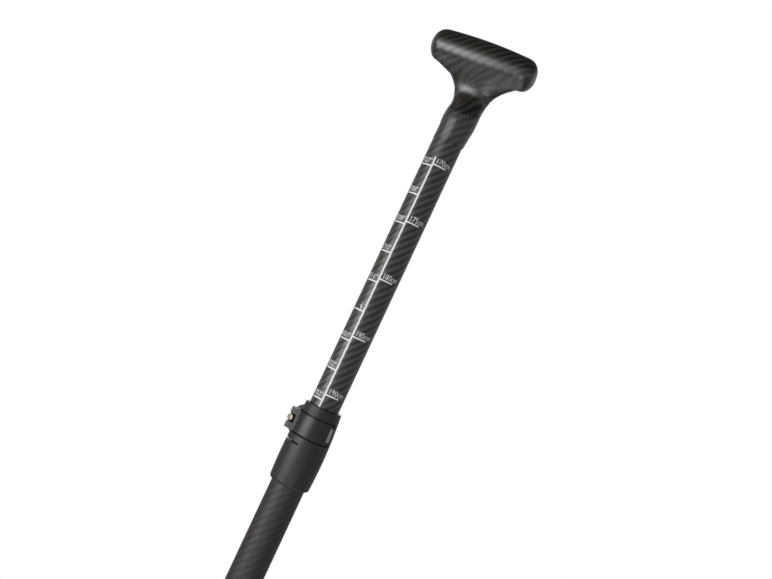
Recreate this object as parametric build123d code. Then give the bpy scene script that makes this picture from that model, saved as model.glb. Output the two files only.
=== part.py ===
"""Adjustable single blade paddle: T grip and scaled handle tube that slide and turn in a lever clamp on the
main shaft, with a raked blade below.

Frame: +Z up the shaft, -Y the side the scale and the blade's power face look to, +X to the right of it.
Origin: on the shaft's axis at the clamp collar's lower edge, where a rack clip holds the shaft.
Azimuths are in degrees about +Z, from -Y towards +X. Sizes are in millimetres.
"""
from build123d import *
import os
from math import cos, degrees, hypot, radians, sin

# ---- overall lengths ----
PADDLE_LENGTH = 1911.0        # blade tip to grip top, as set at rest
TIP_TO_COLLAR_TOP = 1589.6
COLLAR_LENGTH = 66.5
HANDLE_INSERTION = 389.0      # length of handle tube below the collar's top edge at rest

# ---- tubes ----
HANDLE_OD = 24.8
HANDLE_WALL = 1.2
SLIDE_CLEARANCE = 0.10        # radial, handle tube in shaft and in collar
SHAFT_WALL = 1.5

# ---- handle's lower end ----
PLUG_LENGTH = 25.0            # the part bonded in the tube
PLUG_FLANGE = 2.0
JOURNAL_DIAMETER = 16.0
PLUG_HEAD = 3.0
PLUG_HEAD_RECESS = 1.2        # radial, plug head below the bush's outside
BUSH_LENGTH = 12.0
BUSH_SPLIT = 2.0
BUSH_END_PLAY = 0.3
BUSH_OUTER_CLEARANCE = 0.05
BUSH_INNER_CLEARANCE = 0.06

# ---- clamp collar ----
COLLAR_TURN = -9.5            # azimuth of the pointer: the collar is bonded a little round from the front
SHAFT_SOCKET = 31.0           # depth of the bonded socket on the main shaft
BARREL_WALL = 3.4             # thickest wall, over the main shaft
COLLAR_FOOT_WALL = 2.7        # at the lower edge, before its rounding
COLLAR_TOP_WALL = 2.6         # at the top edge, over the bore
COLLAR_FOOT_ROUND = 2.4
COLLAR_TOP_ROUND = 0.7
BELLY_HEIGHT = 30.0           # where the barrel is widest
SLIT = 1.5                    # the upright slit between the ears
SLOT_HEIGHT = 1.6             # the cross slot that frees the upper band
SLOT_BELOW_TOP = 32.7
SLOT_PAST_MIDDLE = 1.1
FRONT_EAR = 3.15
REAR_EAR = 4.75
EAR_REACH = 10.5              # beyond the bore's wall
EAR_HALF_HEIGHT = 13.4
EAR_ROUND = 1.0
POINTER_WIDTH = 4.4
POINTER_HEIGHT = 4.6
POINTER_LINE = 0.75
POINTER_RAISE = 0.35
POINTER_BELOW_TOP = 4.3

# ---- cam lever ----
LEVER_BELOW_TOP = 17.5        # lever's mid-height
LEVER_HEIGHT = 17.1
LEVER_GAP = 0.7               # above, below and past the tip
LEVER_TIP = 88.0              # azimuth of the tip from the pointer
LEVER_TIP_ROUND = 4.6
LEVER_EDGE = 0.6              # rounding of the lever's outer edges
POCKET_EDGE = 0.4             # rounding of the rim round the lever
POCKET_WALL = 1.3             # collar wall left under the lever
LEVER_SEAT_GAP = 0.3
FORK_NOTCH = 7.2
CAM_RADIUS = 3.5
CAM_THROW = 0.3
CAM_GAP = 0.1
BLOCK_START = -38.0           # azimuth where the band turns into the fork block
BLOCK_LAP = 6.0               # degrees that the band runs on into the block
BLOCK_SINK = 0.5              # block's front corner below the band's outside
BLOCK_NOSE = 1.1              # block's front face ahead of the cam's round
BLOCK_NOSE_INNER = 2.2        # corners of that face, each side of the pin's axis
BLOCK_NOSE_OUTER = 1.6
BLOCK_NOSE_SLOPE = 0.4
BLOCK_ROUND = 0.8
INLAY_FROM = 72.0
INLAY_TO = 86.0
INLAY_HEIGHT = 11.2
INLAY_DEPTH = 1.0

# ---- clamp hardware: M3 screw on a cross-drilled pin ----
SCREW_OFFSET = 5.7            # screw axis outside the bore's wall
SCREW_DIAMETER = 3.0
SCREW_LENGTH = 16.0
SCREW_HEAD_DIAMETER = 5.6
SCREW_HEAD_HEIGHT = 2.4
SCREW_HEAD_ROUND = 0.95
SCREW_RECESS = 1.1            # width of the head's cross recess
SCREW_RECESS_SPAN = 3.4
SCREW_RECESS_DEPTH = 1.3
HEAD_SEAT_FIT = 0.2           # radial, round the head in the barrel pin
SCREW_FIT = 0.10              # radial, in the barrel pin and the nut
EAR_HOLE_FIT = 0.25
BARREL_PIN_DIAMETER = 4.8
BARREL_PIN_SHORT = 0.3        # pin end below the lever's top and bottom faces
BARREL_PIN_FIT = 0.06
BARREL_SEAT = 1.8             # head seat in front of the pin's axis
NUT_WIDTH = 5.5
NUT_HEIGHT = 2.4
NUT_FIT = 0.1
PAD_THICKNESS = 0.8
PAD_WIDTH = 4.6
PAD_HEIGHT = 17.4
HEAD_SWEEP_GAP = 1.9          # fork notch past the screw head's swing

# ---- grip ----
GRIP_HEIGHT = 88.4            # top of the bar to the socket's lower edge
GRIP_SPAN = 90.0
GRIP_BAR_DIAMETER = 31.0      # at the middle of its crown
GRIP_END_DIAMETER = 26.4
GRIP_END_ROUND = 9.0
GRIP_SHELL = 1.25
GRIP_SOCKET = 24.0            # depth of handle tube in the grip
NECK_OVER_TUBE = 0.35         # waist of the neck, outside the tube's radius
NECK_BELOW_TOP = 57.4
SWELL_OVER_TUBE = 1.25        # swell of the socket, outside the tube's radius
SWELL_BELOW_TOP = 70.4
SOCKET_LIP = 0.5              # shell wall at the socket's lower edge
FLARE_HEIGHTS = (0.0, 9.0, 17.0, 23.0, 28.0)      # above the neck's waist
FLARE_WIDTHS = (0.0, 1.6, 6.5, 13.5, 21.0)        # added to the neck's radius, sideways
FLARE_DEPTHS = (0.0, -0.9, -2.2, -2.8, -2.6)      # added front and back

# ---- blade ----
BLADE_LENGTH = 470.0          # from the neck's bend to the tip, along the blade
BLADE_HALF_WIDTH = 101.0
BLADE_RAKE = 10.0
BLADE_TOP = 52.0              # where the flat blade starts below the bend
BLADE_OUTLINE = (             # shares of the half width and of the length, and the way in from there
    (0.44, 0.290, 1.00, 0.00),
    (0.84, 0.500, 1.00, 0.00),
    (1.00, 0.730, 1.00, 0.00),
    (0.88, 0.890, 0.90, 0.45),
    (0.46, 0.985, 0.35, 0.95),
)
SHOULDER_INSET = 0.3          # share of an inset that the blade's shoulder takes
CORE_MIDDLE = 8.0
CORE_EDGE = 2.6
SKIN = 0.9
EDGE_GUARD_WIDTH = 6.0
EDGE_GUARD_PROUD = 0.15
NECK_WALL = 1.9               # blade neck over the shaft
NECK_SOCKET = 60.0            # shaft length held in the neck, down to the bend
NECK_LIP_BEVEL = 1.1
SPINE_LENGTH = 250.0
SPINE_TOP_WIDER = 1.0         # spine's half width over the neck's radius, where the flat blade starts
SPINE_TOP_THINNER = 2.5       # its half depth under that radius there
SPINE_MIDDLE = 0.6            # share of the spine's length where it is still as wide as the neck
SPINE_MIDDLE_DEPTH = 0.5      # share of the neck's radius
SPINE_END_HALF_WIDTH = 7.0
SPINE_END_PROUD = 0.3
FOAM_PLUG_LENGTH = 80.0
FOAM_PLUG_UP = 10.0           # its lower end above the shaft's end

# ---- worked out ----
handle_radius = HANDLE_OD / 2
handle_bore = handle_radius - HANDLE_WALL
bore_radius = handle_radius + SLIDE_CLEARANCE
shaft_radius = bore_radius + SHAFT_WALL
collar_top = COLLAR_LENGTH
grip_top = collar_top + PADDLE_LENGTH - TIP_TO_COLLAR_TOP
grip_bottom = grip_top - GRIP_HEIGHT
tube_top = grip_bottom + GRIP_SOCKET
tube_bottom = collar_top - HANDLE_INSERTION
journal_radius = JOURNAL_DIAMETER / 2
blade_tip = collar_top - TIP_TO_COLLAR_TOP
bend_z = blade_tip + BLADE_LENGTH * cos(radians(BLADE_RAKE))
shaft_bottom = bend_z

lever_z = collar_top - LEVER_BELOW_TOP
lever_low = lever_z - LEVER_HEIGHT / 2
pocket_radius = bore_radius + POCKET_WALL
seat_radius = pocket_radius + LEVER_SEAT_GAP
ear_front = -SLIT / 2 - FRONT_EAR
ear_back = SLIT / 2 + REAR_EAR
screw_x = -bore_radius - SCREW_OFFSET
pivot_y = ear_front - CAM_RADIUS - CAM_THROW - CAM_GAP
seat_y = pivot_y - BARREL_SEAT
screw_radius = SCREW_DIAMETER / 2
pin_radius = BARREL_PIN_DIAMETER / 2
far = 4 * shaft_radius        # beyond every face of the clamp


def polar(radius, azimuth):
    """Point at a radius and azimuth about the shaft's axis."""
    return (radius * sin(radians(azimuth)), -radius * cos(radians(azimuth)))


def from_axis(point):
    """How far a point is from the shaft's axis."""
    return hypot(point.X, point.Y)


def tube(outer, inner, low, high):
    """Round tube on the shaft's axis."""
    ring = Circle(outer) - Circle(inner)
    return extrude(Pos(0, 0, low) * ring, high - low)


def rod(radius, low, high, x=0.0, y=0.0):
    """Round bar parallel to the shaft's axis."""
    return extrude(Pos(x, y, low) * Circle(radius), high - low)


def block(x, y, z):
    """Box given by its low and high bound on each axis."""
    size = Box(x[1] - x[0], y[1] - y[0], z[1] - z[0])
    return Pos((x[0] + x[1]) / 2, (y[0] + y[1]) / 2, (z[0] + z[1]) / 2) * size


def along_screw(radius, front, back):
    """Round bar on the tension screw's axis."""
    plane = Plane(origin=(screw_x, front, lever_z), x_dir=(1, 0, 0), z_dir=(0, 1, 0))
    return extrude(plane * Circle(radius), back - front)


def wedge(start, end, low, high):
    """Sector of a large disc between two azimuths less than 180 degrees apart."""
    middle = polar(2 * far, (start + end) / 2)
    corners = [(0, 0), polar(2 * far, start), middle, polar(2 * far, end), (0, 0)]
    return extrude(Pos(0, 0, low) * make_face(Polyline(*corners)), high - low)


# ---- clamp: made with its pointer at azimuth 0, then turned ----
def barrel(offset=0.0):
    """The collar's outside as a solid of revolution, grown by an offset."""
    foot = shaft_radius + COLLAR_FOOT_WALL + offset
    belly = shaft_radius + BARREL_WALL + offset
    top = bore_radius + COLLAR_TOP_WALL + offset
    side = ThreePointArc((foot, 0), (belly, BELLY_HEIGHT), (top, collar_top))
    outline = side + Polyline((top, collar_top), (0, collar_top), (0, 0), (foot, 0))
    solid = revolve(Plane.XZ * make_face(outline), Axis.Z)
    ends = solid.edges().filter_by(GeomType.CIRCLE).sort_by(Axis.Z)
    solid = fillet(ends[0], COLLAR_FOOT_ROUND)
    ends = solid.edges().filter_by(GeomType.CIRCLE).sort_by(Axis.Z)
    return fillet(ends[-1], COLLAR_TOP_ROUND)


def pointer():
    """Raised outline of a triangle that marks where the scale is read."""
    low = collar_top - POINTER_BELOW_TOP - POINTER_HEIGHT / 2
    corners = [(-POINTER_WIDTH / 2, low), (POINTER_WIDTH / 2, low), (0, low + POINTER_HEIGHT)]
    face = make_face(Polyline(*corners, corners[0]))
    frame = face - offset(face, -POINTER_LINE)
    prism = extrude(Plane.XZ * frame, far)
    return (prism & barrel(POINTER_RAISE)) - barrel(-POINTER_RAISE)


def pocket_rim(shell, low, high):
    """Edges of the lever's pocket on the barrel's outside, without the upright one that the ears cover."""
    rim = shell.edges().filter_by(lambda edge: low - POCKET_EDGE < edge.center().Z < high + POCKET_EDGE)
    rim = rim.filter_by(lambda edge: min(from_axis(edge @ 0), from_axis(edge @ 1)) > shaft_radius)
    return rim.sort_by(Axis.X)[1:]


def clamp_collar():
    lobe = Plane(origin=(-bore_radius, ear_front, lever_z), x_dir=(1, 0, 0), z_dir=(0, 1, 0))
    ears = extrude(lobe * Ellipse(EAR_REACH, EAR_HALF_HEIGHT), ear_back - ear_front)
    ears = fillet(ears.edges(), EAR_ROUND)
    low = lever_low - LEVER_GAP
    high = lever_low + LEVER_HEIGHT + LEVER_GAP
    pocket = tube(far, pocket_radius, low, high)
    tip_gap = LEVER_TIP + degrees(LEVER_GAP / shaft_radius)
    front = block((-far, far), (-far, ear_front), (low, high)) + wedge(0, tip_gap, low, high)
    shell = barrel() - (pocket & front)
    body = fillet(pocket_rim(shell, low, high), POCKET_EDGE) + ears + pointer()
    body -= rod(bore_radius, -far, collar_top + far)
    body -= rod(shaft_radius, -far, SHAFT_SOCKET)
    slot_z = collar_top - SLOT_BELOW_TOP
    body -= block((-far, 0), (-SLIT / 2, SLIT / 2), (slot_z, collar_top + far))
    body -= block(
        (-far, SLOT_PAST_MIDDLE), (-far, far), (slot_z - SLOT_HEIGHT / 2, slot_z + SLOT_HEIGHT / 2)
    )
    body -= along_screw(screw_radius + EAR_HOLE_FIT, -far, far)
    body -= pad_form(0.0)
    return body - nut_form(NUT_FIT, far)


def pad_form(hole):
    """Steel plate let into the front ear, under the cam."""
    x = (screw_x - PAD_WIDTH / 2, screw_x + PAD_WIDTH / 2)
    z = (lever_z - PAD_HEIGHT / 2, lever_z + PAD_HEIGHT / 2)
    plate = block(x, (ear_front, ear_front + PAD_THICKNESS), z)
    plate = fillet(plate.edges().filter_by(Axis.Y), PAD_WIDTH / 4)
    if hole:
        plate -= along_screw(hole, -far, far)
    return plate


def nut_form(fit, depth):
    """Hexagon in the rear ear, open to the back."""
    plane = Plane(origin=(screw_x, ear_back - NUT_HEIGHT, lever_z), x_dir=(0, 0, 1), z_dir=(0, 1, 0))
    return extrude(plane * RegularPolygon(NUT_WIDTH / 2 + fit, 6, major_radius=False), depth)


def lock_nut():
    return nut_form(0.0, NUT_HEIGHT) - along_screw(screw_radius + SCREW_FIT, -far, far)


def fork_block():
    """Block at the band's end that carries the cam and the pin."""
    cam = (screw_x, pivot_y + CAM_THROW)
    nose = pivot_y - CAM_RADIUS - BLOCK_NOSE
    corners = [
        polar(shaft_radius + BARREL_WALL - BLOCK_SINK, BLOCK_START),
        (screw_x + BLOCK_NOSE_INNER, nose),
        (screw_x - BLOCK_NOSE_OUTER, nose + BLOCK_NOSE_SLOPE),
        (cam[0] - CAM_RADIUS, cam[1]),
        cam,
        (cam[0] + CAM_RADIUS / 2, cam[1] + CAM_RADIUS / 2),
        polar(seat_radius, BLOCK_START - 2 * BLOCK_LAP),
        polar(seat_radius, BLOCK_START),
    ]
    profile = make_face(Polyline(*corners, corners[0])) + Pos(*cam) * Circle(CAM_RADIUS)
    solid = extrude(Pos(0, 0, lever_low) * profile, LEVER_HEIGHT)
    front = solid.edges().filter_by(Axis.Z).sort_by(Axis.Y)[:2]
    return fillet(front, BLOCK_ROUND)


def lever_band():
    """Curved arm that lies flush in the collar's pocket, with round corners at its tip."""
    high = lever_low + LEVER_HEIGHT
    tip_y = polar(shaft_radius, LEVER_TIP)[1]
    reach = block((-far, far), (-far, tip_y), (lever_low, high))
    corners = reach.edges().filter_by(Axis.X).sort_by(Axis.Y)[-2:]
    reach = fillet(corners, LEVER_TIP_ROUND)
    reach -= wedge(BLOCK_START - 90, BLOCK_START - BLOCK_LAP, lever_low, high)
    band = barrel() & reach
    outside = band.faces().filter_by(lambda face: face.geom_type not in (GeomType.PLANE, GeomType.CYLINDER))
    band = fillet(outside.edges(), LEVER_EDGE)
    return band - rod(seat_radius, -far, collar_top + far)


def cam_lever():
    body = lever_band() + fork_block()
    low = lever_z - FORK_NOTCH / 2
    head_sweep = hypot(BARREL_SEAT + SCREW_HEAD_HEIGHT, SCREW_HEAD_DIAMETER / 2)
    body -= rod(head_sweep + HEAD_SWEEP_GAP, low, low + FORK_NOTCH, screw_x, pivot_y)
    body -= rod(pin_radius + BARREL_PIN_FIT, -far, far + collar_top, screw_x, pivot_y)
    return body - inlay_form()


def inlay_form():
    """Thumb pad at the lever's tip, let in flush."""
    low = lever_z - INLAY_HEIGHT / 2
    return (barrel() - barrel(-INLAY_DEPTH)) & wedge(INLAY_FROM, INLAY_TO, low, low + INLAY_HEIGHT)


def barrel_pin():
    low = lever_low + BARREL_PIN_SHORT
    high = lever_low + LEVER_HEIGHT - BARREL_PIN_SHORT
    pin = rod(pin_radius, low, high, screw_x, pivot_y)
    pin -= along_screw(screw_radius + SCREW_FIT, -far, far)
    return pin - along_screw(SCREW_HEAD_DIAMETER / 2 + HEAD_SEAT_FIT, seat_y - far, seat_y)


def tension_screw():
    front = seat_y - SCREW_HEAD_HEIGHT
    head = along_screw(SCREW_HEAD_DIAMETER / 2, front, seat_y)
    head = fillet(head.edges().filter_by(GeomType.CIRCLE).sort_by(Axis.Y)[0], SCREW_HEAD_ROUND)
    for x, z in ((SCREW_RECESS, SCREW_RECESS_SPAN), (SCREW_RECESS_SPAN, SCREW_RECESS)):
        head -= block(
            (screw_x - x / 2, screw_x + x / 2),
            (front - SCREW_RECESS_DEPTH, front + SCREW_RECESS_DEPTH),
            (lever_z - z / 2, lever_z + z / 2),
        )
    return head + along_screw(screw_radius, seat_y, seat_y + SCREW_LENGTH)


# ---- handle ----
def grip_bar(inset):
    """Crowned round bar with rounded ends, shrunk by an inset all round."""
    half = GRIP_SPAN / 2 - inset
    crown = GRIP_BAR_DIAMETER / 2 - inset
    end = GRIP_END_DIAMETER / 2 - inset
    outline = ThreePointArc((-half, end), (0, crown), (half, end))
    outline += Polyline((half, end), (half, 0), (-half, 0), (-half, end))
    bar = revolve(make_face(outline), Axis.X)
    ends = bar.edges().filter_by(GeomType.CIRCLE).sort_by(Axis.X)
    return Pos(0, 0, grip_top - GRIP_BAR_DIAMETER / 2) * fillet([ends[0], ends[-1]], GRIP_END_ROUND - inset)


def grip_neck(inset):
    """Round socket with a swell and a waist, then a flare that runs into the bar."""
    waist_z = grip_top - NECK_BELOW_TOP
    swell_z = grip_top - SWELL_BELOW_TOP
    lip = (handle_radius + SOCKET_LIP - inset, grip_bottom)
    waist = (handle_radius + NECK_OVER_TUBE - inset, waist_z)
    swell = (handle_radius + SWELL_OVER_TUBE - inset, swell_z)
    side = Spline(lip, swell, waist, tangents=((0.1, 1), (0, 1)))
    outline = side + Polyline(waist, (0, waist_z), (0, grip_bottom), lip)
    socket = revolve(Plane.XZ * make_face(outline), Axis.Z)
    rings = []
    for up, width, depth in zip(FLARE_HEIGHTS, FLARE_WIDTHS, FLARE_DEPTHS):
        rings.append(Pos(0, 0, waist_z + up) * Ellipse(waist[0] + width, waist[0] + depth))
    return socket + loft(rings)


def grip_form(inset):
    return grip_bar(inset) + grip_neck(inset)


def grip_core():
    return grip_form(GRIP_SHELL) - block((-far * 2, far * 2), (-far, far), (grip_bottom - far, tube_top))


def grip_shell():
    return grip_form(0.0) - grip_core() - rod(handle_radius, grip_bottom - far, tube_top)


def handle_end_plug():
    flange = tube_bottom - PLUG_FLANGE
    journal = flange - BUSH_LENGTH - 2 * BUSH_END_PLAY
    body = rod(handle_bore, tube_bottom, tube_bottom + PLUG_LENGTH)
    body += rod(handle_radius - SLIDE_CLEARANCE, flange, tube_bottom)
    body += rod(journal_radius, journal, flange)
    head = rod(handle_radius - PLUG_HEAD_RECESS, journal - PLUG_HEAD, journal)
    return body + chamfer(head.edges().sort_by(Axis.Z)[0], PLUG_HEAD / 2)


def guide_bush():
    high = tube_bottom - PLUG_FLANGE - BUSH_END_PLAY
    ring = tube(
        bore_radius - BUSH_OUTER_CLEARANCE, journal_radius + BUSH_INNER_CLEARANCE, high - BUSH_LENGTH, high
    )
    return ring - block((-BUSH_SPLIT / 2, BUSH_SPLIT / 2), (0, far), (high - BUSH_LENGTH, high))


# ---- blade: made flat and upright below the bend, then raked ----
def blade_face(inset=0.0):
    """Teardrop outline, as a face in XY with Y up the blade, or one a rim's width inside it."""
    sides = []
    for side in (1, -1):
        points = [(side * (shaft_radius + NECK_WALL - inset * SHOULDER_INSET), -BLADE_TOP)]
        for across, down, inward, upward in BLADE_OUTLINE:
            x = BLADE_HALF_WIDTH * across - inset * inward
            points.append((side * x, -BLADE_LENGTH * down + inset * upward))
        points.append((0, -BLADE_LENGTH + inset))
        sides.append(Spline(*points, tangents=((side * 0.1, -1), (-side, 0))))
    top = Line(sides[0] @ 0, sides[1] @ 0)
    return make_face([*sides, top])


def upright(face, half_depth):
    """Prism of a face in XY, stood up in XZ and centred on Y = 0."""
    return extrude(Plane.XZ * face, half_depth, both=True)


def lens(grow):
    """Blade section, thickest along the middle, run down the whole blade."""
    w = BLADE_HALF_WIDTH
    edge = CORE_EDGE / 2 + grow
    middle = CORE_MIDDLE / 2 + grow
    front = ThreePointArc((-w, -edge), (0, -middle), (w, -edge))
    back = ThreePointArc((w, edge), (0, middle), (-w, edge))
    section = make_face([front, Line((w, -edge), (w, edge)), back, Line((-w, edge), (-w, -edge))])
    return extrude(Pos(0, 0, -BLADE_LENGTH) * section, BLADE_LENGTH)


def neck_outside():
    """Socket over the shaft, a round bend, and the spine that fades into the blade."""
    outer = shaft_radius + NECK_WALL
    spine = [
        (0.0, outer, outer),
        (BLADE_TOP, outer + SPINE_TOP_WIDER, outer - SPINE_TOP_THINNER),
        (SPINE_LENGTH * SPINE_MIDDLE, outer, outer * SPINE_MIDDLE_DEPTH),
        (SPINE_LENGTH, SPINE_END_HALF_WIDTH, CORE_MIDDLE / 2 + SKIN + SPINE_END_PROUD),
    ]
    rings = [Pos(0, 0, -down) * Ellipse(a, b) for down, a, b in spine]
    return raked(loft(rings)) + Pos(0, 0, bend_z) * Sphere(outer) + rod(outer, bend_z, bend_z + NECK_SOCKET)


def raked(shape):
    """Turn the blade about the bend, so its tip goes back, and put it in place."""
    return Pos(0, 0, bend_z) * Rot(BLADE_RAKE, 0, 0) * shape


def blade_neck():
    socket = rod(shaft_radius, shaft_bottom, bend_z + NECK_SOCKET + far)
    lip = neck_outside() - socket
    top = lip.edges().filter_by(GeomType.CIRCLE).sort_by(Axis.Z)[-2:]
    outer = top.sort_by(lambda edge: edge.radius)[-1]
    return chamfer(outer, NECK_LIP_BEVEL)


def edge_guard():
    half_depth = CORE_EDGE / 2 + SKIN + EDGE_GUARD_PROUD
    ring = upright(blade_face(), half_depth) - upright(blade_face(EDGE_GUARD_WIDTH), far)
    return raked(ring) - neck_outside()


def blade_core():
    inside = upright(blade_face(EDGE_GUARD_WIDTH), far)
    return raked(inside & lens(0.0)) - neck_outside()


def blade_skin(side):
    """Skin on the front (side -1) or the back (side 1) of the core."""
    w = BLADE_HALF_WIDTH
    inside = upright(blade_face(EDGE_GUARD_WIDTH), far)
    half = block((-w, w), (min(0, side * far), max(0, side * far)), (-BLADE_LENGTH, 0))
    return raked((lens(SKIN) - lens(0.0)) & inside & half) - neck_outside()


def turned(shape):
    """Turn a clamp piece to the collar's place on the shaft."""
    return Rot(0, 0, COLLAR_TURN) * shape


os.makedirs("parts", exist_ok=True)
foam_low = shaft_bottom + FOAM_PLUG_UP
pieces = {
    "grip_shell": grip_shell(),
    "grip_core": grip_core(),
    "handle_tube": tube(handle_radius, handle_bore, tube_bottom, tube_top),
    "handle_end_plug": handle_end_plug(),
    "guide_bush": guide_bush(),
    "clamp_collar": turned(clamp_collar()),
    "cam_lever": turned(cam_lever()),
    "lever_inlay": turned(inlay_form()),
    "barrel_pin": turned(barrel_pin()),
    "tension_screw": turned(tension_screw()),
    "cam_pad": turned(pad_form(screw_radius + EAR_HOLE_FIT)),
    "lock_nut": turned(lock_nut()),
    "main_shaft": tube(shaft_radius, bore_radius, shaft_bottom, SHAFT_SOCKET),
    "shaft_foam_plug": rod(bore_radius, foam_low, foam_low + FOAM_PLUG_LENGTH),
    "blade_neck": blade_neck(),
    "blade_core": blade_core(),
    "blade_face_skin": blade_skin(-1),
    "blade_back_skin": blade_skin(1),
    "blade_edge_guard": edge_guard(),
}
for name, shape in pieces.items():
    export_step(shape, "parts/" + name + ".step")
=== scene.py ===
"""Looks for the adjustable single blade paddle: moulded T grip, carbon tubes, printed scale and clamp.

Lengths are in metres; the paddle's own are written in millimetres times MM. +Z runs up the shaft
and -Y is the front, where the scale is. Azimuths are in degrees about the shaft, from the front
towards +X.
"""

import math

import bmesh
import bpy
from mathutils import Matrix, Vector


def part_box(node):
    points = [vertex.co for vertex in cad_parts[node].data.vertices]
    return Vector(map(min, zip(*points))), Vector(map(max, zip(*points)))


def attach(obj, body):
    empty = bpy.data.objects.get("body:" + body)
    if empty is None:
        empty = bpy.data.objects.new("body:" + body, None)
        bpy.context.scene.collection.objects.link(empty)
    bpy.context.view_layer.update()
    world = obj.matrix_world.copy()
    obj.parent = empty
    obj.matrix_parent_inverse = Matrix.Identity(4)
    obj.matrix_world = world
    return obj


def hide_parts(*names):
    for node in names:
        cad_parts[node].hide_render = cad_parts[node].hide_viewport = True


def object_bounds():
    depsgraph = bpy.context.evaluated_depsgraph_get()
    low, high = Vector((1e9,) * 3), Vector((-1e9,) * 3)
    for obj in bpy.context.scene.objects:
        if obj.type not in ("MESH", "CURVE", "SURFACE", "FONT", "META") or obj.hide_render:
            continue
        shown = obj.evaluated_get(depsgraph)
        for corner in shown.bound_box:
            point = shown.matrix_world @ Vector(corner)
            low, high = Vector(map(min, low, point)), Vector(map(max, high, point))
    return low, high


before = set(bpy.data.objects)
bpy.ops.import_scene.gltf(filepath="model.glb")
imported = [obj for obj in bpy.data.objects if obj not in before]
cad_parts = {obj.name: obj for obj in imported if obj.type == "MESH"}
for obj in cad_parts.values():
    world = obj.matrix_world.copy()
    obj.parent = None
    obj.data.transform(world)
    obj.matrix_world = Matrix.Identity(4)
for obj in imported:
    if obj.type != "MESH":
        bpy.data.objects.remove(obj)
cad_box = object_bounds()

MM = 0.001
FULL_TURN = 2 * math.pi
TURN_STEPS = 128              # flats round a tube
SHARP = math.radians(32)      # edges sharper than this stay crisp
WELD = 0.001 * MM

# ---- places and sizes from the frame ----
grip_low, grip_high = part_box("grip_shell")
handle_low, handle_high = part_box("handle_tube")
shaft_low, shaft_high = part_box("main_shaft")
handle_radius = (handle_high.x - handle_low.x) / 2
shaft_radius = (shaft_high.x - shaft_low.x) / 2
collar_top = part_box("clamp_collar")[1].z
HANDLE_WALL = 1.2 * MM
SHAFT_WALL = 1.5 * MM
TOW = 1.83 * MM               # width of one carbon tow
TOW_MAP = "tows"

# ---- grip ----
BAR_RADIUS = 15.5 * MM
BAR_END_RADIUS = 13.0 * MM
BAR_END_ROUND = 9.0 * MM
bar_z = grip_high.z - BAR_RADIUS
BAR_SHIFT = Vector((-1.6, -1.5, 0)) * MM
BAR_FLATS = 48
BAR_CUTS = 14
END_CUTS = 8
NECK_FLATS = 64
# rings of the neck in millimetres: depth under the grip's top, half width, half depth, offset to the
# right and offset to the back
NECK_RINGS = (
    (92.4, 12.75, 12.75, 0.0, 0.0),
    (85.4, 13.1, 12.9, 0.4, 0.0),
    (78.4, 13.4, 13.3, 0.9, 0.0),
    (70.4, 14.2, 13.7, 1.1, 0.0),
    (63.4, 14.0, 13.3, 1.4, 0.0),
    (57.4, 13.4, 10.6, 1.7, 1.2),
    (51.4, 14.0, 8.2, 1.5, 2.4),
    (46.5, 15.5, 6.9, 1.1, 2.9),
    (42.5, 17.3, 6.9, 0.9, 2.8),
    (38.5, 20.3, 8.0, 0.7, 1.9),
    (34.9, 23.4, 9.4, 0.8, 1.2),
    (30.4, 32.0, 11.1, -2.2, 0.3),
    (27.4, 37.4, 12.1, -1.4, -0.4),
    (22.4, 41.0, 14.0, -1.4, -1.2),
)
GRIP_WALL = 1.25 * MM
GRIP_VOXEL = 0.85 * MM
GRIP_SMOOTHING = 14
SADDLE_SMOOTHING = 26
SADDLE_REACH = 30.0 * MM      # how far under the bar's middle it is smoothed
SADDLE_TOP = 4.0 * MM
LIP_DEPTH = 3.0 * MM
# the cloth turns from running round the neck to running round the bar
CLOTH_TURN = 26.0 * MM        # where it starts to turn, under the bar's middle
CLOTH_BLEND = 22.0 * MM
LIFT_FROM = 8.0 * MM
LIFT_LOW = -6.0 * MM
LIFT_HIGH = 30.0 * MM

# ---- scale printed on the handle ----
SCALE_AZIMUTH = -2.65
SCALE_AT_COLLAR = 191.1       # reading at the collar's top edge, in centimetres
SCALE_FIRST = 170
SCALE_LAST = 210
SCALE_STEP = 5
INCH_FIRST = 67               # 5 ft 7 in
INCH_LAST = 82
INCH = 25.4 * MM
LINE_WIDTH = 1.45 * MM
LINE_RISE = 6.0 * MM          # line above the first tick
TICK = 1.15 * MM
CM_TICK_LENGTH = 11.2 * MM
INCH_TICK_LENGTH = 10.3 * MM
DIGIT_HEIGHT = 4.4 * MM
DIGIT_SHARE = 0.70            # height of a digit over the type's size
LETTER_SPACING = 0.95
LABEL_GAP = 0.9 * MM
LETTER_THINNER = -0.003       # share of the letters' size
LABEL_STRETCH = 0.86
INK_OVER = 0.028 * MM
INK_UNDER = 0.03 * MM
INK_STEP = 0.6 * MM           # facets of the ink round the tube

# ---- floor and light ----
FLOOR_RADIUS = 2.4
FLOOR_FADE = 0.5
FLOOR_GAP = 2.0 * MM
FLOOR_GLOW = 0.55
KEY_AZIMUTH = -33
KEY_HEIGHT = 0.04
KEY_DISTANCE = 1.3
KEY_LAYER_GAP = 0.02
# the smaller softboxes: name, azimuth, height, distance, size, power, height aimed at
SMALL_LIGHTS = (
    ("low_light", 20, -1.0, 1.6, (1.0, 1.0), 6, -1.2),
    ("back_light", 196, 0.0, 1.8, (0.8, 1.6), 10, -0.3),
)
# the main softbox fades to its edge: width, height and power of its layers
KEY_LAYERS = ((1.45, 1.25, 5.6), (1.1, 0.9, 4.4), (0.7, 0.52, 2.2))
FILL_LEVEL = 0.46             # brightness of the room all round
FILL_ABOVE = 0.07             # the same, straight up and down
FILL_FADE = (0.25, 0.65)      # sine of the height where one turns into the other

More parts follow.
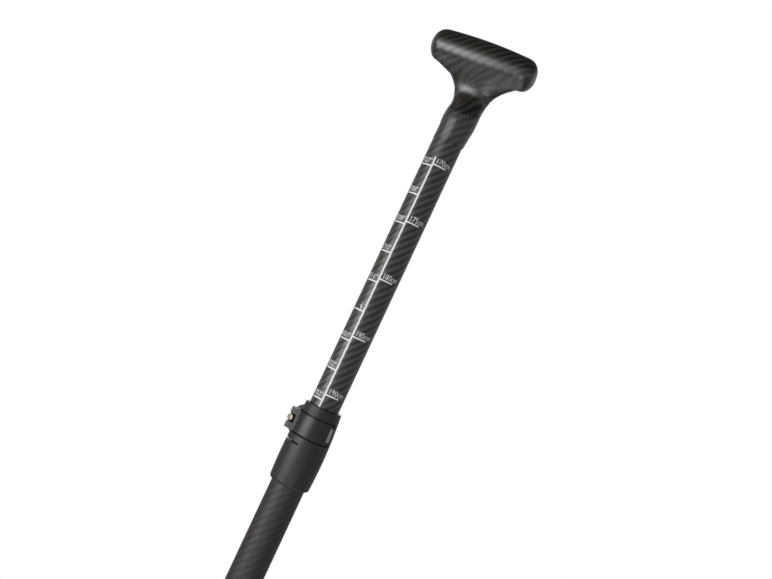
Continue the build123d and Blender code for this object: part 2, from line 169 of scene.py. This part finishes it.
# ---- view ----
LENS = 44.77
SENSOR = 36.0
VIEW_AZIMUTH = math.radians(15.8)
VIEW_DISTANCE = 0.7657
VIEW_HEIGHT = 0.1440
VIEW_RIGHT = 0.0048           # point looked at, right of the shaft's axis and above the camera
VIEW_UP = 0.0283
VIEW_ROLL = math.radians(25.013)


# ---------------------------------------------------------------- finishes
class Value:
    """A shader socket. Arithmetic on it adds Math nodes to its finish."""

    def __init__(self, finish, socket):
        self.finish = finish
        self.socket = socket

    def math(self, operation, *others):
        return self.finish.add("ShaderNodeMath", {"operation": operation}, dict(enumerate((self, *others))))

    def reflected(self, operation, other):
        return self.finish.add("ShaderNodeMath", {"operation": operation}, {0: other, 1: self})

    def __add__(self, other):
        return self.math("ADD", other)

    __radd__ = __add__

    def __sub__(self, other):
        return self.math("SUBTRACT", other)

    def __rsub__(self, other):
        return self.reflected("SUBTRACT", other)

    def __mul__(self, other):
        return self.math("MULTIPLY", other)

    __rmul__ = __mul__

    def __truediv__(self, other):
        return self.math("DIVIDE", other)

    def __mod__(self, other):
        return self.math("FLOORED_MODULO", other)

    def __pow__(self, other):
        return self.math("POWER", other)

    def floor(self):
        return self.math("FLOOR")

    def fract(self):
        return self.math("FRACT")

    def below(self, limit):
        return self.math("LESS_THAN", limit)

    def arch(self):
        """0 at 0 and 1, and 1 half way."""
        return self * (1 - self) * 4

    def ramp(self, low, high, to_low=0.0, to_high=1.0):
        """Smooth step from one value to another."""
        inputs = {"Value": self, "From Min": low, "From Max": high, "To Min": to_low, "To Max": to_high}
        return self.finish.add("ShaderNodeMapRange", {"interpolation_type": "SMOOTHSTEP"}, inputs)

    def between(self, other, share):
        return self + (other - self) * share


class Finish:
    """A procedural material, built up node by node."""

    def __init__(self, name, owner=None):
        self.owner = owner or bpy.data.materials.new(name)
        self.owner.use_nodes = True
        self.tree = self.owner.node_tree
        self.tree.nodes.clear()

    def add(self, kind, settings=None, inputs=None, output=0):
        """One node: its settings first, then the values or links of its sockets."""
        node = self.tree.nodes.new(kind)
        for key, value in (settings or {}).items():
            setattr(node, key, value)
        for key, value in (inputs or {}).items():
            if isinstance(value, Value):
                self.tree.links.new(value.socket, node.inputs[key])
            elif node.inputs[key].type == "RGBA":
                node.inputs[key].default_value = (*value, 1.0)
            else:
                node.inputs[key].default_value = value
        return Value(self, node.outputs[output]) if node.outputs else node

    def place(self):
        """The piece's own coordinates, in metres."""
        return self.add("ShaderNodeTexCoord", output="Object")

    def split(self, vector):
        parts = self.add("ShaderNodeSeparateXYZ", inputs={"Vector": vector})
        return [Value(self, parts.socket.node.outputs[axis]) for axis in ("X", "Y", "Z")]

    def joined(self, x, y, z):
        return self.add("ShaderNodeCombineXYZ", inputs={"X": x, "Y": y, "Z": z})

    def noise(self, vector, scale, detail=2.0, roughness=0.5):
        inputs = {"Vector": vector, "Scale": scale, "Detail": detail, "Roughness": roughness}
        return self.add("ShaderNodeTexNoise", inputs=inputs)

    def cells(self, vector, scale):
        """Distance to the nearest of scattered points."""
        return self.add("ShaderNodeTexVoronoi", inputs={"Vector": vector, "Scale": scale})

    def mix(self, first, second, share):
        """Colour from one to another."""
        settings = {"data_type": "RGBA"}
        return self.add("ShaderNodeMix", settings, {0: share, 6: first, 7: second}, output=2)

    def shade(self, colour, factor):
        """Colour made lighter or darker by a number."""
        return self.add("ShaderNodeVectorMath", {"operation": "SCALE"}, {0: colour, "Scale": factor})

    def relief(self, height, depth):
        """Bumps of a height from 0 to 1 times a depth."""
        return self.add("ShaderNodeBump", inputs={"Height": height, "Distance": depth, "Strength": 1.0})

    def surface(self, **inputs):
        """The finished surface: sockets are named with underscores for spaces."""
        sockets = {key.replace("_", " "): value for key, value in inputs.items()}
        shader = self.add("ShaderNodeBsdfPrincipled", inputs=sockets)
        self.add("ShaderNodeOutputMaterial", inputs={"Surface": shader})
        return self.owner


# painted sheen and painted shade: the same black fibre, coloured lighter where the tow runs upright and
# darker where it runs level, in place of how each reflects light
TOW_PAINTED_SHEEN = (0.068, 0.060, 0.051)
TOW_PAINTED_SHADE = (0.009, 0.008, 0.008)
FIBRES_PER_TOW = 14           # streaks seen across one tow
FIBRE_STRETCH = 0.7           # the same along it


def twill(finish, across, along):
    """2 by 2 twill from two coordinates in tows: which tow is on top, its height and its fibres."""
    column = across.floor()
    row = along.floor()
    upright = ((column - row) % 4).below(1.5)
    upright_float = ((along - column + 1) % 4) / 2
    level_float = ((across - row - 2) % 4) / 2
    upright_height = across.fract().arch() * (0.55 + 0.45 * upright_float.arch())
    level_height = along.fract().arch() * (0.55 + 0.45 * level_float.arch())
    height = level_height.between(upright_height, upright)
    upright_place = finish.joined(across * FIBRES_PER_TOW, along * FIBRE_STRETCH, 0.0)
    upright_fibres = finish.noise(upright_place, 1.0, 3.0, 0.7)
    level_place = finish.joined(across * FIBRE_STRETCH, along * FIBRES_PER_TOW, 5.0)
    level_fibres = finish.noise(level_place, 1.0, 3.0, 0.7)
    fibres = level_fibres.between(upright_fibres, upright)
    return upright, height, fibres


def round_tube_tows(finish, radius):
    """Tow coordinates round and along a tube, with its seam at the back."""
    x, y, z = finish.split(finish.place())
    count = 4 * round(FULL_TURN * radius / TOW / 4)
    azimuth = x.math("ARCTAN2", y * -1)
    return azimuth * (count / FULL_TURN), z / TOW


def flat_tows(finish, tilt):
    """Tow coordinates on a panel that is upright but for a tilt about X."""
    turned = finish.add("ShaderNodeMapping", inputs={"Vector": finish.place(), "Rotation": (tilt, 0, 0)})
    parts = finish.split(turned)
    return parts[0] / TOW, parts[2] / TOW


def moulded_tows(finish):
    """Tow coordinates from the piece's own UV map, which is in tows."""
    return finish.split(finish.add("ShaderNodeUVMap", {"uv_map": TOW_MAP}))[:2]


def carbon(
    name, tows, *args, light=TOW_PAINTED_SHEEN, dark=TOW_PAINTED_SHADE, gloss=0.35, coat=0.5, coat_gloss=0.22, relief=0.05
):
    """Carbon twill under a clear coat. Its colour holds painted sheen and shade: upright tows lighter,
    level tows darker, and each tow darker at its edges and where it dives under.
    """
    finish = Finish(name)
    across, along = tows(finish, *args)
    upright, height, fibres = twill(finish, across, along)
    place = finish.place()
    patches = finish.noise(place, 42.0, 2.0)
    grain = finish.noise(place, 2600.0, 2.0)
    # painted shade: each tow darker at its edges and where it dives under the next, lighter on its crown
    tow_crown_painted_shade = 0.45 + 0.55 * height.ramp(0.0, 0.45)
    fibre_shade = 0.55 + 0.9 * fibres
    patch_shade = 0.75 + 0.5 * patches
    # light and dark here are the painted sheen and painted shade of the upright and level tows
    base = finish.shade(finish.mix(dark, light, upright), tow_crown_painted_shade * fibre_shade * patch_shade)
    roughness = gloss + 0.10 * (1 - upright) + 0.12 * (fibres - 0.5) + 0.08 * (patches - 0.5)
    bumps = height + 0.10 * fibres + 0.03 * grain
    return finish.surface(
        Base_Color=base,
        Roughness=roughness,
        Coat_Weight=coat,
        Coat_Roughness=coat_gloss,
        Normal=finish.relief(bumps, relief * MM),
        Specular_IOR_Level=0.5,
    )


def moulded_plastic(name, tone, gloss=0.5, grain=0.03):
    """Spark-eroded moulded plastic: fine pits, faint flow marks and rubbed patches."""
    finish = Finish(name)
    place = finish.place()
    pits = finish.cells(place, 2400.0)
    fine = finish.noise(place, 3800.0, 2.0)
    rubbed = finish.noise(place, 60.0, 4.0, 0.6)
    base = finish.shade(tone, 0.82 + 0.18 * fine + 0.22 * rubbed)
    return finish.surface(
        Base_Color=base,
        Roughness=gloss + 0.10 * (fine - 0.5) - 0.14 * (rubbed - 0.5),
        Normal=finish.relief(pits + 0.6 * fine, grain * MM),
    )


def brushed_steel(name, tone, gloss=0.24):
    """Turned stainless steel with fine tool marks."""
    finish = Finish(name)
    x, y, z = finish.split(finish.place())
    marks = finish.noise(finish.joined(x * 900, y * 900, z * 5200), 1.0, 3.0, 0.6)
    stains = finish.noise(finish.place(), 420.0, 3.0)
    return finish.surface(
        Base_Color=finish.shade(tone, 0.86 + 0.16 * stains + 0.08 * marks),
        Metallic=1.0,
        Roughness=gloss + 0.12 * marks + 0.06 * stains,
        Normal=finish.relief(marks, 0.004 * MM),
    )


def soft_pad(name, tone):
    """Soft-touch rubber with a matte skin."""
    finish = Finish(name)
    place = finish.place()
    fine = finish.noise(place, 3000.0, 3.0)
    worn = finish.noise(place, 240.0, 3.0)
    return finish.surface(
        Base_Color=finish.shade(tone, 0.85 + 0.2 * fine + 0.12 * worn),
        Roughness=0.62 + 0.12 * (fine - 0.5),
        Normal=finish.relief(fine, 0.02 * MM),
    )


def foam(name, tone):
    """Closed-cell foam: small bubbles."""
    finish = Finish(name)
    place = finish.place()
    bubbles = finish.cells(place, 900.0)
    cloud = finish.noise(place, 70.0, 3.0)
    return finish.surface(
        Base_Color=finish.shade(tone, 0.78 + 0.25 * bubbles + 0.15 * cloud),
        Roughness=0.85,
        Normal=finish.relief(bubbles, 0.15 * MM),
    )


def printed_ink(name, tone):
    """Screen-printed ink, a little thin where the weave stands up."""
    finish = Finish(name)
    place = finish.place()
    thin = finish.noise(place, 900.0, 3.0, 0.6)
    return finish.surface(
        Base_Color=finish.shade(tone, 0.88 + 0.2 * thin),
        Roughness=0.42 + 0.1 * thin,
    )


BLADE_RAKE = math.radians(10)
tube_carbon = carbon("carbon_twill_tube", round_tube_tows, handle_radius)
# light and dark: the painted sheen and painted shade of the grip's tows, both darker than on the tube
grip_carbon = carbon(
    "carbon_twill_grip", moulded_tows,
    light=(0.044, 0.037, 0.029), dark=(0.004, 0.0035, 0.0035),
    gloss=0.30, coat=1.0, coat_gloss=0.22, relief=0.025,
)
# light and dark: the painted sheen and painted shade of the shaft's tows, closer together than on the tube
shaft_carbon = carbon(
    "carbon_matte_shaft", round_tube_tows, shaft_radius,
    light=(0.036, 0.031, 0.027), dark=(0.022, 0.019, 0.016),
    gloss=0.43, coat=0.0, relief=0.02,
)
blade_carbon = carbon("carbon_twill_blade", flat_tows, -BLADE_RAKE, coat=0.7, coat_gloss=0.15)
black_nylon = moulded_plastic("black_moulded_nylon", (0.016, 0.016, 0.0165), gloss=0.42)
lever_nylon = moulded_plastic("black_lever_nylon", (0.016, 0.016, 0.0165), gloss=0.34, grain=0.02)
edge_plastic = moulded_plastic("black_edge_plastic", (0.022, 0.022, 0.024), gloss=0.42)
plug_plastic = moulded_plastic("black_plug_plastic", (0.04, 0.04, 0.042))
glide_nylon = moulded_plastic("natural_glide_nylon", (0.72, 0.70, 0.64), gloss=0.4)
grey_pad = soft_pad("grey_thumb_pad", (0.36, 0.36, 0.375))
steel = brushed_steel("turned_stainless", (0.72, 0.71, 0.69))
screw_steel = brushed_steel("passivated_screw_steel", (0.34, 0.31, 0.27), gloss=0.38)
black_steel = brushed_steel("black_oxide_steel", (0.045, 0.045, 0.048), gloss=0.4)
white_ink = printed_ink("white_scale_ink", (0.85, 0.85, 0.85))
core_foam = foam("closed_cell_foam", (0.70, 0.68, 0.60))

NODE_FINISHES = {
    "grip_shell": grip_carbon,
    "grip_core": core_foam,
    "handle_tube": tube_carbon,
    "handle_end_plug": plug_plastic,
    "guide_bush": glide_nylon,
    "clamp_collar": black_nylon,
    "cam_lever": lever_nylon,
    "lever_inlay": grey_pad,
    "barrel_pin": black_steel,
    "tension_screw": screw_steel,
    "cam_pad": steel,
    "lock_nut": steel,
    "main_shaft": shaft_carbon,
    "shaft_foam_plug": core_foam,
    "blade_neck": blade_carbon,
    "blade_core": core_foam,
    "blade_face_skin": blade_carbon,
    "blade_back_skin": blade_carbon,
    "blade_edge_guard": edge_plastic,
}
for name, material in NODE_FINISHES.items():
    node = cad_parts[name]
    node.data.materials.clear()
    node.data.materials.append(material)


# ---------------------------------------------------------------- pieces
def make_piece(name, bm, material, body, replaced=()):
    """Object at the origin from a finished bmesh, riding on its body."""
    mesh = bpy.data.meshes.new(name)
    bm.to_mesh(mesh)
    bm.free()
    mesh.materials.append(material)
    mesh.shade_smooth()
    mesh.set_sharp_from_angle(angle=SHARP)
    piece = bpy.data.objects.new(name, mesh)
    bpy.context.scene.collection.objects.link(piece)
    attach(piece, body)
    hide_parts(*replaced)


def lathe(outline):
    """Solid of revolution about the shaft's axis from a closed outline of radius and height."""
    bm = bmesh.new()
    corners = [bm.verts.new((radius, 0, height)) for radius, height in outline]
    sides = [bm.edges.new(pair) for pair in zip(corners, corners[1:] + corners[:1])]
    bmesh.ops.spin(
        bm, geom=corners + sides, cent=(0, 0, 0), axis=(0, 0, 1),
        angle=FULL_TURN, steps=TURN_STEPS, use_merge=True,
    )
    bmesh.ops.remove_doubles(bm, verts=bm.verts, dist=WELD)
    bmesh.ops.recalc_face_normals(bm, faces=bm.faces)
    return bm


def round_tube(radius, wall, low, high):
    return lathe([(radius, low), (radius, high), (radius - wall, high), (radius - wall, low)])


make_piece(
    "handle_tube_carbon", round_tube(handle_radius, HANDLE_WALL, handle_low.z, handle_high.z),
    tube_carbon, "handle", ["handle_tube"],
)
make_piece(
    "main_shaft_carbon", round_tube(shaft_radius, SHAFT_WALL, shaft_low.z, shaft_high.z),
    shaft_carbon, "shaft", ["main_shaft"],
)


# ---- grip ----
def remeshed(bm, voxel):
    """One even skin round everything in a bmesh."""
    mesh = bpy.data.meshes.new("rough")
    bm.to_mesh(mesh)
    bm.free()
    rough = bpy.data.objects.new("rough", mesh)
    bpy.context.scene.collection.objects.link(rough)
    remesh = rough.modifiers.new("even", "REMESH")
    remesh.mode = "VOXEL"
    remesh.voxel_size = voxel
    skin = bpy.data.meshes.new_from_object(rough.evaluated_get(bpy.context.evaluated_depsgraph_get()))
    bpy.data.objects.remove(rough)
    bpy.data.meshes.remove(mesh)
    bm = bmesh.new()
    bm.from_mesh(skin)
    bpy.data.meshes.remove(skin)
    return bm


def grip_bar(bm):
    """Crowned round bar with rounded ends."""
    half = (grip_high.x - grip_low.x) / 2
    lying = Matrix.Rotation(math.pi / 2, 4, "Y")
    bmesh.ops.create_cone(
        bm, cap_ends=True, segments=BAR_FLATS, radius1=BAR_END_RADIUS, radius2=BAR_END_RADIUS,
        depth=2 * half, matrix=lying,
    )
    rims = [edge for edge in bm.edges if abs(edge.verts[0].co.x - edge.verts[1].co.x) < half]
    bmesh.ops.bevel(
        bm, geom=rims, offset=BAR_END_ROUND, segments=END_CUTS, profile=0.5, affect="EDGES", material=-1
    )
    long_sides = [edge for edge in bm.edges if abs(edge.verts[0].co.x - edge.verts[1].co.x) > half]
    bmesh.ops.subdivide_edges(bm, edges=long_sides, cuts=BAR_CUTS, use_grid_fill=True)
    centre = Vector((0, 0, bar_z))
    for vert in bm.verts:
        share = 1 - (vert.co.x / half) ** 2
        swell = 1 + (BAR_RADIUS / BAR_END_RADIUS - 1) * share
        vert.co.y *= swell
        vert.co.z *= swell
        vert.co += centre + BAR_SHIFT


def grip_neck(bm):
    """Socket, waist and flare, drawn up ring by ring."""
    made = bmesh.ops.create_circle(bm, segments=NECK_FLATS, radius=1.0)
    ring = made["verts"]
    loop = list({edge for vert in ring for edge in vert.link_edges})
    bottom = loop
    size = Vector((1.0, 1.0))
    place = Vector((0, 0, 0))
    for index, (drop, width, depth, right, back) in enumerate(NECK_RINGS):
        if index:
            grown = bmesh.ops.extrude_edge_only(bm, edges=loop)["geom"]
            ring = [g for g in grown if isinstance(g, bmesh.types.BMVert)]
            loop = [g for g in grown if isinstance(g, bmesh.types.BMEdge)]
        target = Vector((right * MM, back * MM, grip_high.z - drop * MM))
        scale = (width * MM / size.x, depth * MM / size.y, 1)
        bmesh.ops.translate(bm, verts=ring, vec=-place)
        bmesh.ops.scale(bm, verts=ring, vec=scale)
        bmesh.ops.translate(bm, verts=ring, vec=target)
        size = Vector((width * MM, depth * MM))
        place = target
    bmesh.ops.contextual_create(bm, geom=bottom)
    bmesh.ops.contextual_create(bm, geom=loop)


def lay_cloth(bm):
    """UV map in tows: u runs round the neck and along the bar, v up the neck and round the bar."""
    uv = bm.loops.layers.uv.new(TOW_MAP)
    for face in bm.faces:
        side = 1 if face.calc_center_median().y > BAR_SHIFT.y else -1
        for loop in face.loops:
            point = loop.vert.co - BAR_SHIFT
            rise = point.z - bar_z
            share = min(1, max(0, (rise + CLOTH_TURN) / CLOTH_BLEND))
            share = share * share * (3 - 2 * share)
            forward = max(side * point.y, 0.0)
            round_bar = math.atan2(rise, forward) * BAR_RADIUS
            round_neck = math.atan2(point.x, forward) * handle_radius if forward or point.x else 0
            across = round_neck + (point.x - round_neck) * share
            lift = min(max(round_bar, LIFT_LOW), LIFT_HIGH) if rise > -LIFT_FROM else rise
            along = point.z + (lift - rise) * share
            loop[uv].uv = (-side * across / TOW, along / TOW)


def smooth(bm, verts, times):
    """Even out a patch of skin."""
    axes = {"use_axis_x": True, "use_axis_y": True, "use_axis_z": True}
    for _ in range(times):
        bmesh.ops.smooth_vert(bm, verts=verts, factor=0.5, **axes)


def cut_below(bm, height):
    """Drop everything under a height and return the edges of the opening."""
    geom = bm.verts[:] + bm.edges[:] + bm.faces[:]
    cut = bmesh.ops.bisect_plane(
        bm, geom=geom, plane_co=(0, 0, height), plane_no=(0, 0, -1), clear_outer=True
    )
    return [item for item in cut["geom_cut"] if isinstance(item, bmesh.types.BMEdge)]


def socket_lip(bm, rim):
    """Close the socket on the tube: its wall's lower edge, then a short step up inside."""
    for rise in (0.0, LIP_DEPTH):
        grown = bmesh.ops.extrude_edge_only(bm, edges=rim)["geom"]
        rim = [item for item in grown if isinstance(item, bmesh.types.BMEdge)]
        for vert in (item for item in grown if isinstance(item, bmesh.types.BMVert)):
            flat = Vector((vert.co.x, vert.co.y)).normalized() * handle_radius
            vert.co = (flat.x, flat.y, vert.co.z + rise)
    bmesh.ops.contextual_create(bm, geom=rim)
    bmesh.ops.recalc_face_normals(bm, faces=bm.faces)


def make_grip():
    """Carbon skin of bar and neck, then the foam inside it."""
    bm = bmesh.new()
    grip_bar(bm)
    grip_neck(bm)
    bmesh.ops.recalc_face_normals(bm, faces=bm.faces)
    bm = remeshed(bm, GRIP_VOXEL)
    smooth(bm, bm.verts, GRIP_SMOOTHING)
    saddle = [vert for vert in bm.verts if bar_z - SADDLE_REACH < vert.co.z < bar_z - SADDLE_TOP]
    smooth(bm, saddle, SADDLE_SMOOTHING)
    socket_lip(bm, cut_below(bm, grip_low.z))
    core = bm.copy()
    lay_cloth(bm)
    make_piece("moulded_t_grip", bm, grip_carbon, "handle", ["grip_shell"])
    make_grip_core(core)


def make_grip_core(bm):
    """Foam inside the skin, down to the end of the tube."""
    bm.normal_update()
    for vert in bm.verts:
        vert.co -= vert.normal * GRIP_WALL
    bmesh.ops.contextual_create(bm, geom=cut_below(bm, handle_high.z))
    make_piece("grip_foam_core", bm, core_foam, "handle", ["grip_core"])


make_grip()


# ---- scale ----
def flat_box(low_x, high_x, low_z, high_z):
    """Flat strip in arc length and height, with a front and a back for wrap() to lay down."""
    bm = bmesh.new()
    bmesh.ops.create_cube(bm, size=1.0)
    bmesh.ops.scale(bm, verts=bm.verts, vec=(high_x - low_x, 1.0, high_z - low_z))
    bmesh.ops.translate(bm, verts=bm.verts, vec=((low_x + high_x) / 2, 0, (low_z + high_z) / 2))
    return bm


def flat_text(words, align, x, z):
    """Words standing up, their baseline at a height, with a front and a back for wrap()."""
    curve = bpy.data.curves.new("words", "FONT")
    curve.body = words
    curve.align_x = align
    curve.size = DIGIT_HEIGHT / DIGIT_SHARE
    curve.space_character = LETTER_SPACING
    curve.offset = LETTER_THINNER * curve.size
    curve.extrude = 0.5
    curve.resolution_u = 3
    holder = bpy.data.objects.new("words", curve)
    bpy.context.scene.collection.objects.link(holder)
    mesh = bpy.data.meshes.new_from_object(holder.evaluated_get(bpy.context.evaluated_depsgraph_get()))
    bpy.data.objects.remove(holder)
    bm = bmesh.new()
    bm.from_mesh(mesh)
    bpy.data.meshes.remove(mesh)
    bmesh.ops.rotate(bm, verts=bm.verts, matrix=Matrix.Rotation(math.pi / 2, 3, "X"))
    bmesh.ops.scale(bm, verts=bm.verts, vec=(LABEL_STRETCH, 1, 1))
    bmesh.ops.translate(bm, verts=bm.verts, vec=(x, 0, z))
    return bm


def wrap(bm):
    """Bend flat ink round the handle: x becomes arc length, and its thickness straddles the surface."""
    low = min(v.co.x for v in bm.verts)
    high = max(v.co.x for v in bm.verts)
    cuts = int((high - low) / INK_STEP)
    for index in range(1, cuts + 1):
        geom = bm.verts[:] + bm.edges[:] + bm.faces[:]
        x = low + (high - low) * index / (cuts + 1)
        bmesh.ops.bisect_plane(bm, geom=geom, plane_co=(x, 0, 0), plane_no=(1, 0, 0))
    bmesh.ops.remove_doubles(bm, verts=bm.verts, dist=WELD)
    for vert in bm.verts:
        radius = handle_radius + (INK_OVER if vert.co.y < 0 else -INK_UNDER)
        azimuth = math.radians(SCALE_AZIMUTH) + vert.co.x / handle_radius
        vert.co.x = radius * math.sin(azimuth)
        vert.co.y = -radius * math.cos(azimuth)
    bmesh.ops.recalc_face_normals(bm, faces=bm.faces)
    return bm


def tick_height(centimetres):
    return collar_top + (SCALE_AT_COLLAR - centimetres) * 10 * MM


def print_scale():
    """Line, ticks and numbers as one printed layer."""
    top = tick_height(SCALE_FIRST)
    bottom = tick_height(SCALE_LAST)
    half_line = LINE_WIDTH / 2
    layers = [flat_box(-half_line, half_line, bottom, top + LINE_RISE)]
    for mark in range(SCALE_FIRST, SCALE_LAST + 1, SCALE_STEP):
        z = tick_height(mark)
        layers.append(flat_box(half_line, half_line + CM_TICK_LENGTH, z - TICK / 2, z + TICK / 2))
        layers.append(flat_text(f"{mark}cm", "LEFT", half_line + LABEL_GAP, z + TICK / 2 + LABEL_GAP))
    for inches in range(INCH_FIRST, INCH_LAST + 1):
        z = tick_height(inches * INCH / (10 * MM))
        if z < bottom:
            break
        feet, rest = divmod(inches, 12)
        words = f"{feet}'{rest:02d}\"" if rest else f"{feet}'"
        layers.append(flat_box(-half_line - INCH_TICK_LENGTH, -half_line, z - TICK / 2, z + TICK / 2))
        layers.append(flat_text(words, "RIGHT", -half_line - LABEL_GAP, z + TICK / 2 + LABEL_GAP))
    whole = bmesh.new()
    for layer in layers:
        part = bpy.data.meshes.new("ink")
        wrap(layer).to_mesh(part)
        layer.free()
        whole.from_mesh(part)
        bpy.data.meshes.remove(part)
    make_piece("printed_scale", whole, white_ink, "handle")


print_scale()


# ---------------------------------------------------------------- stage, light and view
def make_floor():
    """Pale disc that fades into the backdrop."""
    under = Matrix.Translation((0, 0, cad_box[0].z - FLOOR_GAP))
    mesh = bpy.data.meshes.new("floor")
    bm = bmesh.new()
    bmesh.ops.create_circle(bm, cap_ends=True, segments=TURN_STEPS, radius=FLOOR_RADIUS, matrix=under)
    bm.to_mesh(mesh)
    bm.free()
    finish = Finish("pale_floor")
    x, y, _ = finish.split(finish.place())
    reach = (x * x + y * y) ** 0.5
    haze = finish.noise(finish.place(), 3.0, 3.0)
    pale = finish.surface(
        Base_Color=finish.shade((0.85, 0.85, 0.85), 0.97 + 0.06 * haze),
        Roughness=0.8,
        Specular_IOR_Level=0.1,
        Emission_Color=(1, 1, 1),
        Emission_Strength=FLOOR_GLOW,
        Alpha=reach.ramp(FLOOR_FADE, FLOOR_RADIUS, 1.0, 0.0),
    )
    mesh.materials.append(pale)
    floor = bpy.data.objects.new("floor", mesh)
    bpy.context.scene.collection.objects.link(floor)


make_floor()


def make_room():
    """White to the camera; to everything else a grey room, darker straight up and down."""
    room = Finish("studio", bpy.data.worlds.new("studio"))
    bpy.context.scene.world = room.owner
    direction = room.split(room.add("ShaderNodeTexCoord", output="Generated"))
    steepness = direction[2].math("ABSOLUTE")
    strength = steepness.ramp(*FILL_FADE, FILL_LEVEL, FILL_ABOVE)
    fill = room.add("ShaderNodeBackground", inputs={"Strength": strength})
    seen = room.add("ShaderNodeBackground", inputs={"Color": (1, 1, 1), "Strength": 1.0})
    camera_ray = room.add("ShaderNodeLightPath", output="Is Camera Ray")
    backdrop = room.add("ShaderNodeMixShader", inputs={0: camera_ray, 1: fill, 2: seen})
    room.add("ShaderNodeOutputWorld", inputs={"Surface": backdrop})


make_room()


def soft_light(name, azimuth, height, distance, size, power, aim_z):
    """Oblong softbox on a circle round the paddle, turned to the shaft."""
    data = bpy.data.lights.new(name, "AREA")
    data.shape = "RECTANGLE"
    data.size, data.size_y = size
    data.energy = power
    light = bpy.data.objects.new(name, data)
    around = math.radians(azimuth)
    light.location = (distance * math.sin(around), -distance * math.cos(around), height)
    aim = Vector((0, 0, aim_z)) - light.location
    light.rotation_euler = aim.to_track_quat("-Z", "Y").to_euler()
    bpy.context.scene.collection.objects.link(light)


for layer, (width, height, power) in enumerate(KEY_LAYERS):
    reach = KEY_DISTANCE - KEY_LAYER_GAP * layer
    soft_light(f"key_light_{layer}", KEY_AZIMUTH, KEY_HEIGHT, reach, (width, height), power, KEY_HEIGHT)
for light in SMALL_LIGHTS:
    soft_light(*light)


def make_camera():
    """Camera round to the right of the front, rolled so that the shaft leans."""
    outward = Vector((math.sin(VIEW_AZIMUTH), -math.cos(VIEW_AZIMUTH), 0))
    sideways = Vector((math.cos(VIEW_AZIMUTH), math.sin(VIEW_AZIMUTH), 0))
    eye_level = Vector((0, 0, VIEW_HEIGHT))
    place = outward * VIEW_DISTANCE + eye_level
    looked_at = sideways * VIEW_RIGHT + eye_level + Vector((0, 0, VIEW_UP))
    forward = (looked_at - place).normalized()
    level_right = forward.cross(Vector((0, 0, 1))).normalized()
    level_up = level_right.cross(forward)
    right = level_right * math.cos(VIEW_ROLL) + level_up * math.sin(VIEW_ROLL)
    up = level_up * math.cos(VIEW_ROLL) - level_right * math.sin(VIEW_ROLL)
    data = bpy.data.cameras.new("camera")
    data.lens = LENS
    data.sensor_width = SENSOR
    camera = bpy.data.objects.new("camera", data)
    camera.matrix_world = Matrix.Translation(place) @ Matrix((right, up, -forward)).transposed().to_4x4()
    bpy.context.scene.collection.objects.link(camera)
    bpy.context.scene.camera = camera


make_camera()
bpy.context.scene.view_settings.view_transform = "Standard"
